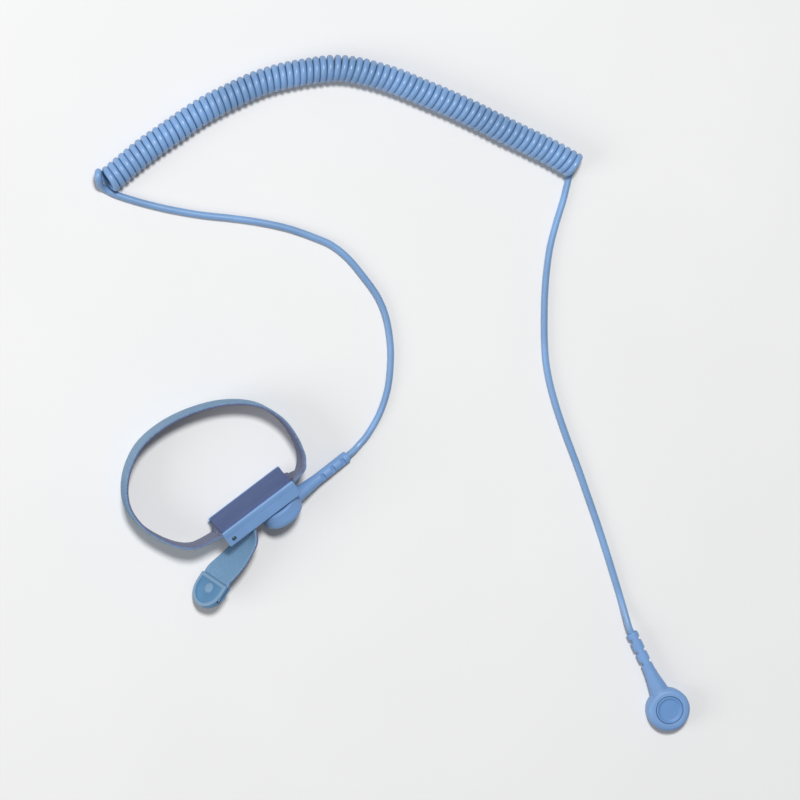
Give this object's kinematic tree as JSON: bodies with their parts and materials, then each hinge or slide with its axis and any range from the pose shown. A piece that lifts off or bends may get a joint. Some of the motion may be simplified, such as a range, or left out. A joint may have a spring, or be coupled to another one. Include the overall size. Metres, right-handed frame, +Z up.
{
  "type": "antistatic wrist strap",
  "caption": "Elastic wristband with clamp buckle, snapped to a plug whose curly grounding cord ends in a snap plug for a bench earth point.",
  "frame": {"origin": "on the surface that the strap lies on, under the middle of the box round the wristband and the plug snapped to it", "axes": "+Z up; +X and +Y lie on the surface, with +X roughly from the far side of the band's loop towards the plug and +Y towards the curly part of the cord"},
  "size_m": [0.2334, 0.2651, 0.0203],
  "materials": {
    "blue_moulding": "satin moulded",
    "blue_trim": "satin moulded",
    "elastic_webbing": "knitted elastic",
    "cord_jacket": "smooth polyurethane jacket",
    "wrist_plate": "brushed, tinted by its surroundings",
    "spring_steel": "bright drawn wire",
    "nickel_plate": "bright nickel plate",
    "tinsel_copper": "tinsel wire",
    "resistor_body": "lacquered ceramic"
  },
  "bodies": {
    "cord_set": {"wrist_plug_body": "blue_moulding", "wrist_plug_cap": "blue_moulding", "wrist_snap_socket": "nickel_plate", "wrist_socket_terminal": "nickel_plate", "resistor": "resistor_body", "resistor_lead_inner": "nickel_plate", "resistor_lead_outer": "nickel_plate", "wrist_wire_crimp": "nickel_plate", "wrist_conductor": "tinsel_copper", "cord_lead_wrist": "cord_jacket", "cord_coil": "cord_jacket", "cord_lead_ground": "cord_jacket", "ground_plug_body": "blue_moulding", "ground_plug_cap": "blue_moulding", "ground_snap_socket": "nickel_plate", "ground_snap_spring": "spring_steel", "ground_socket_terminal": "nickel_plate", "ground_wire_crimp": "nickel_plate", "ground_conductor": "tinsel_copper"},
    "snap_spring": {"wrist_snap_spring": "spring_steel"},
    "wristband": {"wrist_band": "elastic_webbing", "buckle_housing": "blue_moulding", "back_plate": "wrist_plate", "latch_pin": "spring_steel", "band_anchor_pin": "spring_steel", "snap_stud": "nickel_plate", "stud_rivet": "nickel_plate", "contact_washer": "nickel_plate", "band_end_tip": "blue_trim", "end_tip_rivet": "blue_trim"},
    "latch": {"latch_lever": "blue_trim"}
  },
  "joints": [
    {"name": "plug_swivel", "type": "hinge", "parent": "cord_set", "child": "snap_spring", "pos_m": [0.01166, 0.00378, 0.0113], "axis": [0.5598, -0.762, -0.3256], "range_deg": [-130, 130]},
    {"name": "snap_release", "type": "slide", "parent": "snap_spring", "child": "wristband", "axis": [-0.5598, 0.762, 0.3256], "range_m": [0, 0.008]},
    {"name": "latch_hinge", "type": "hinge", "parent": "wristband", "child": "latch", "pos_m": [-0.00491, -0.0098, 0.01091], "axis": [-0.1927, 0.2624, -0.9455], "range_deg": [0, 75]}
  ]
}
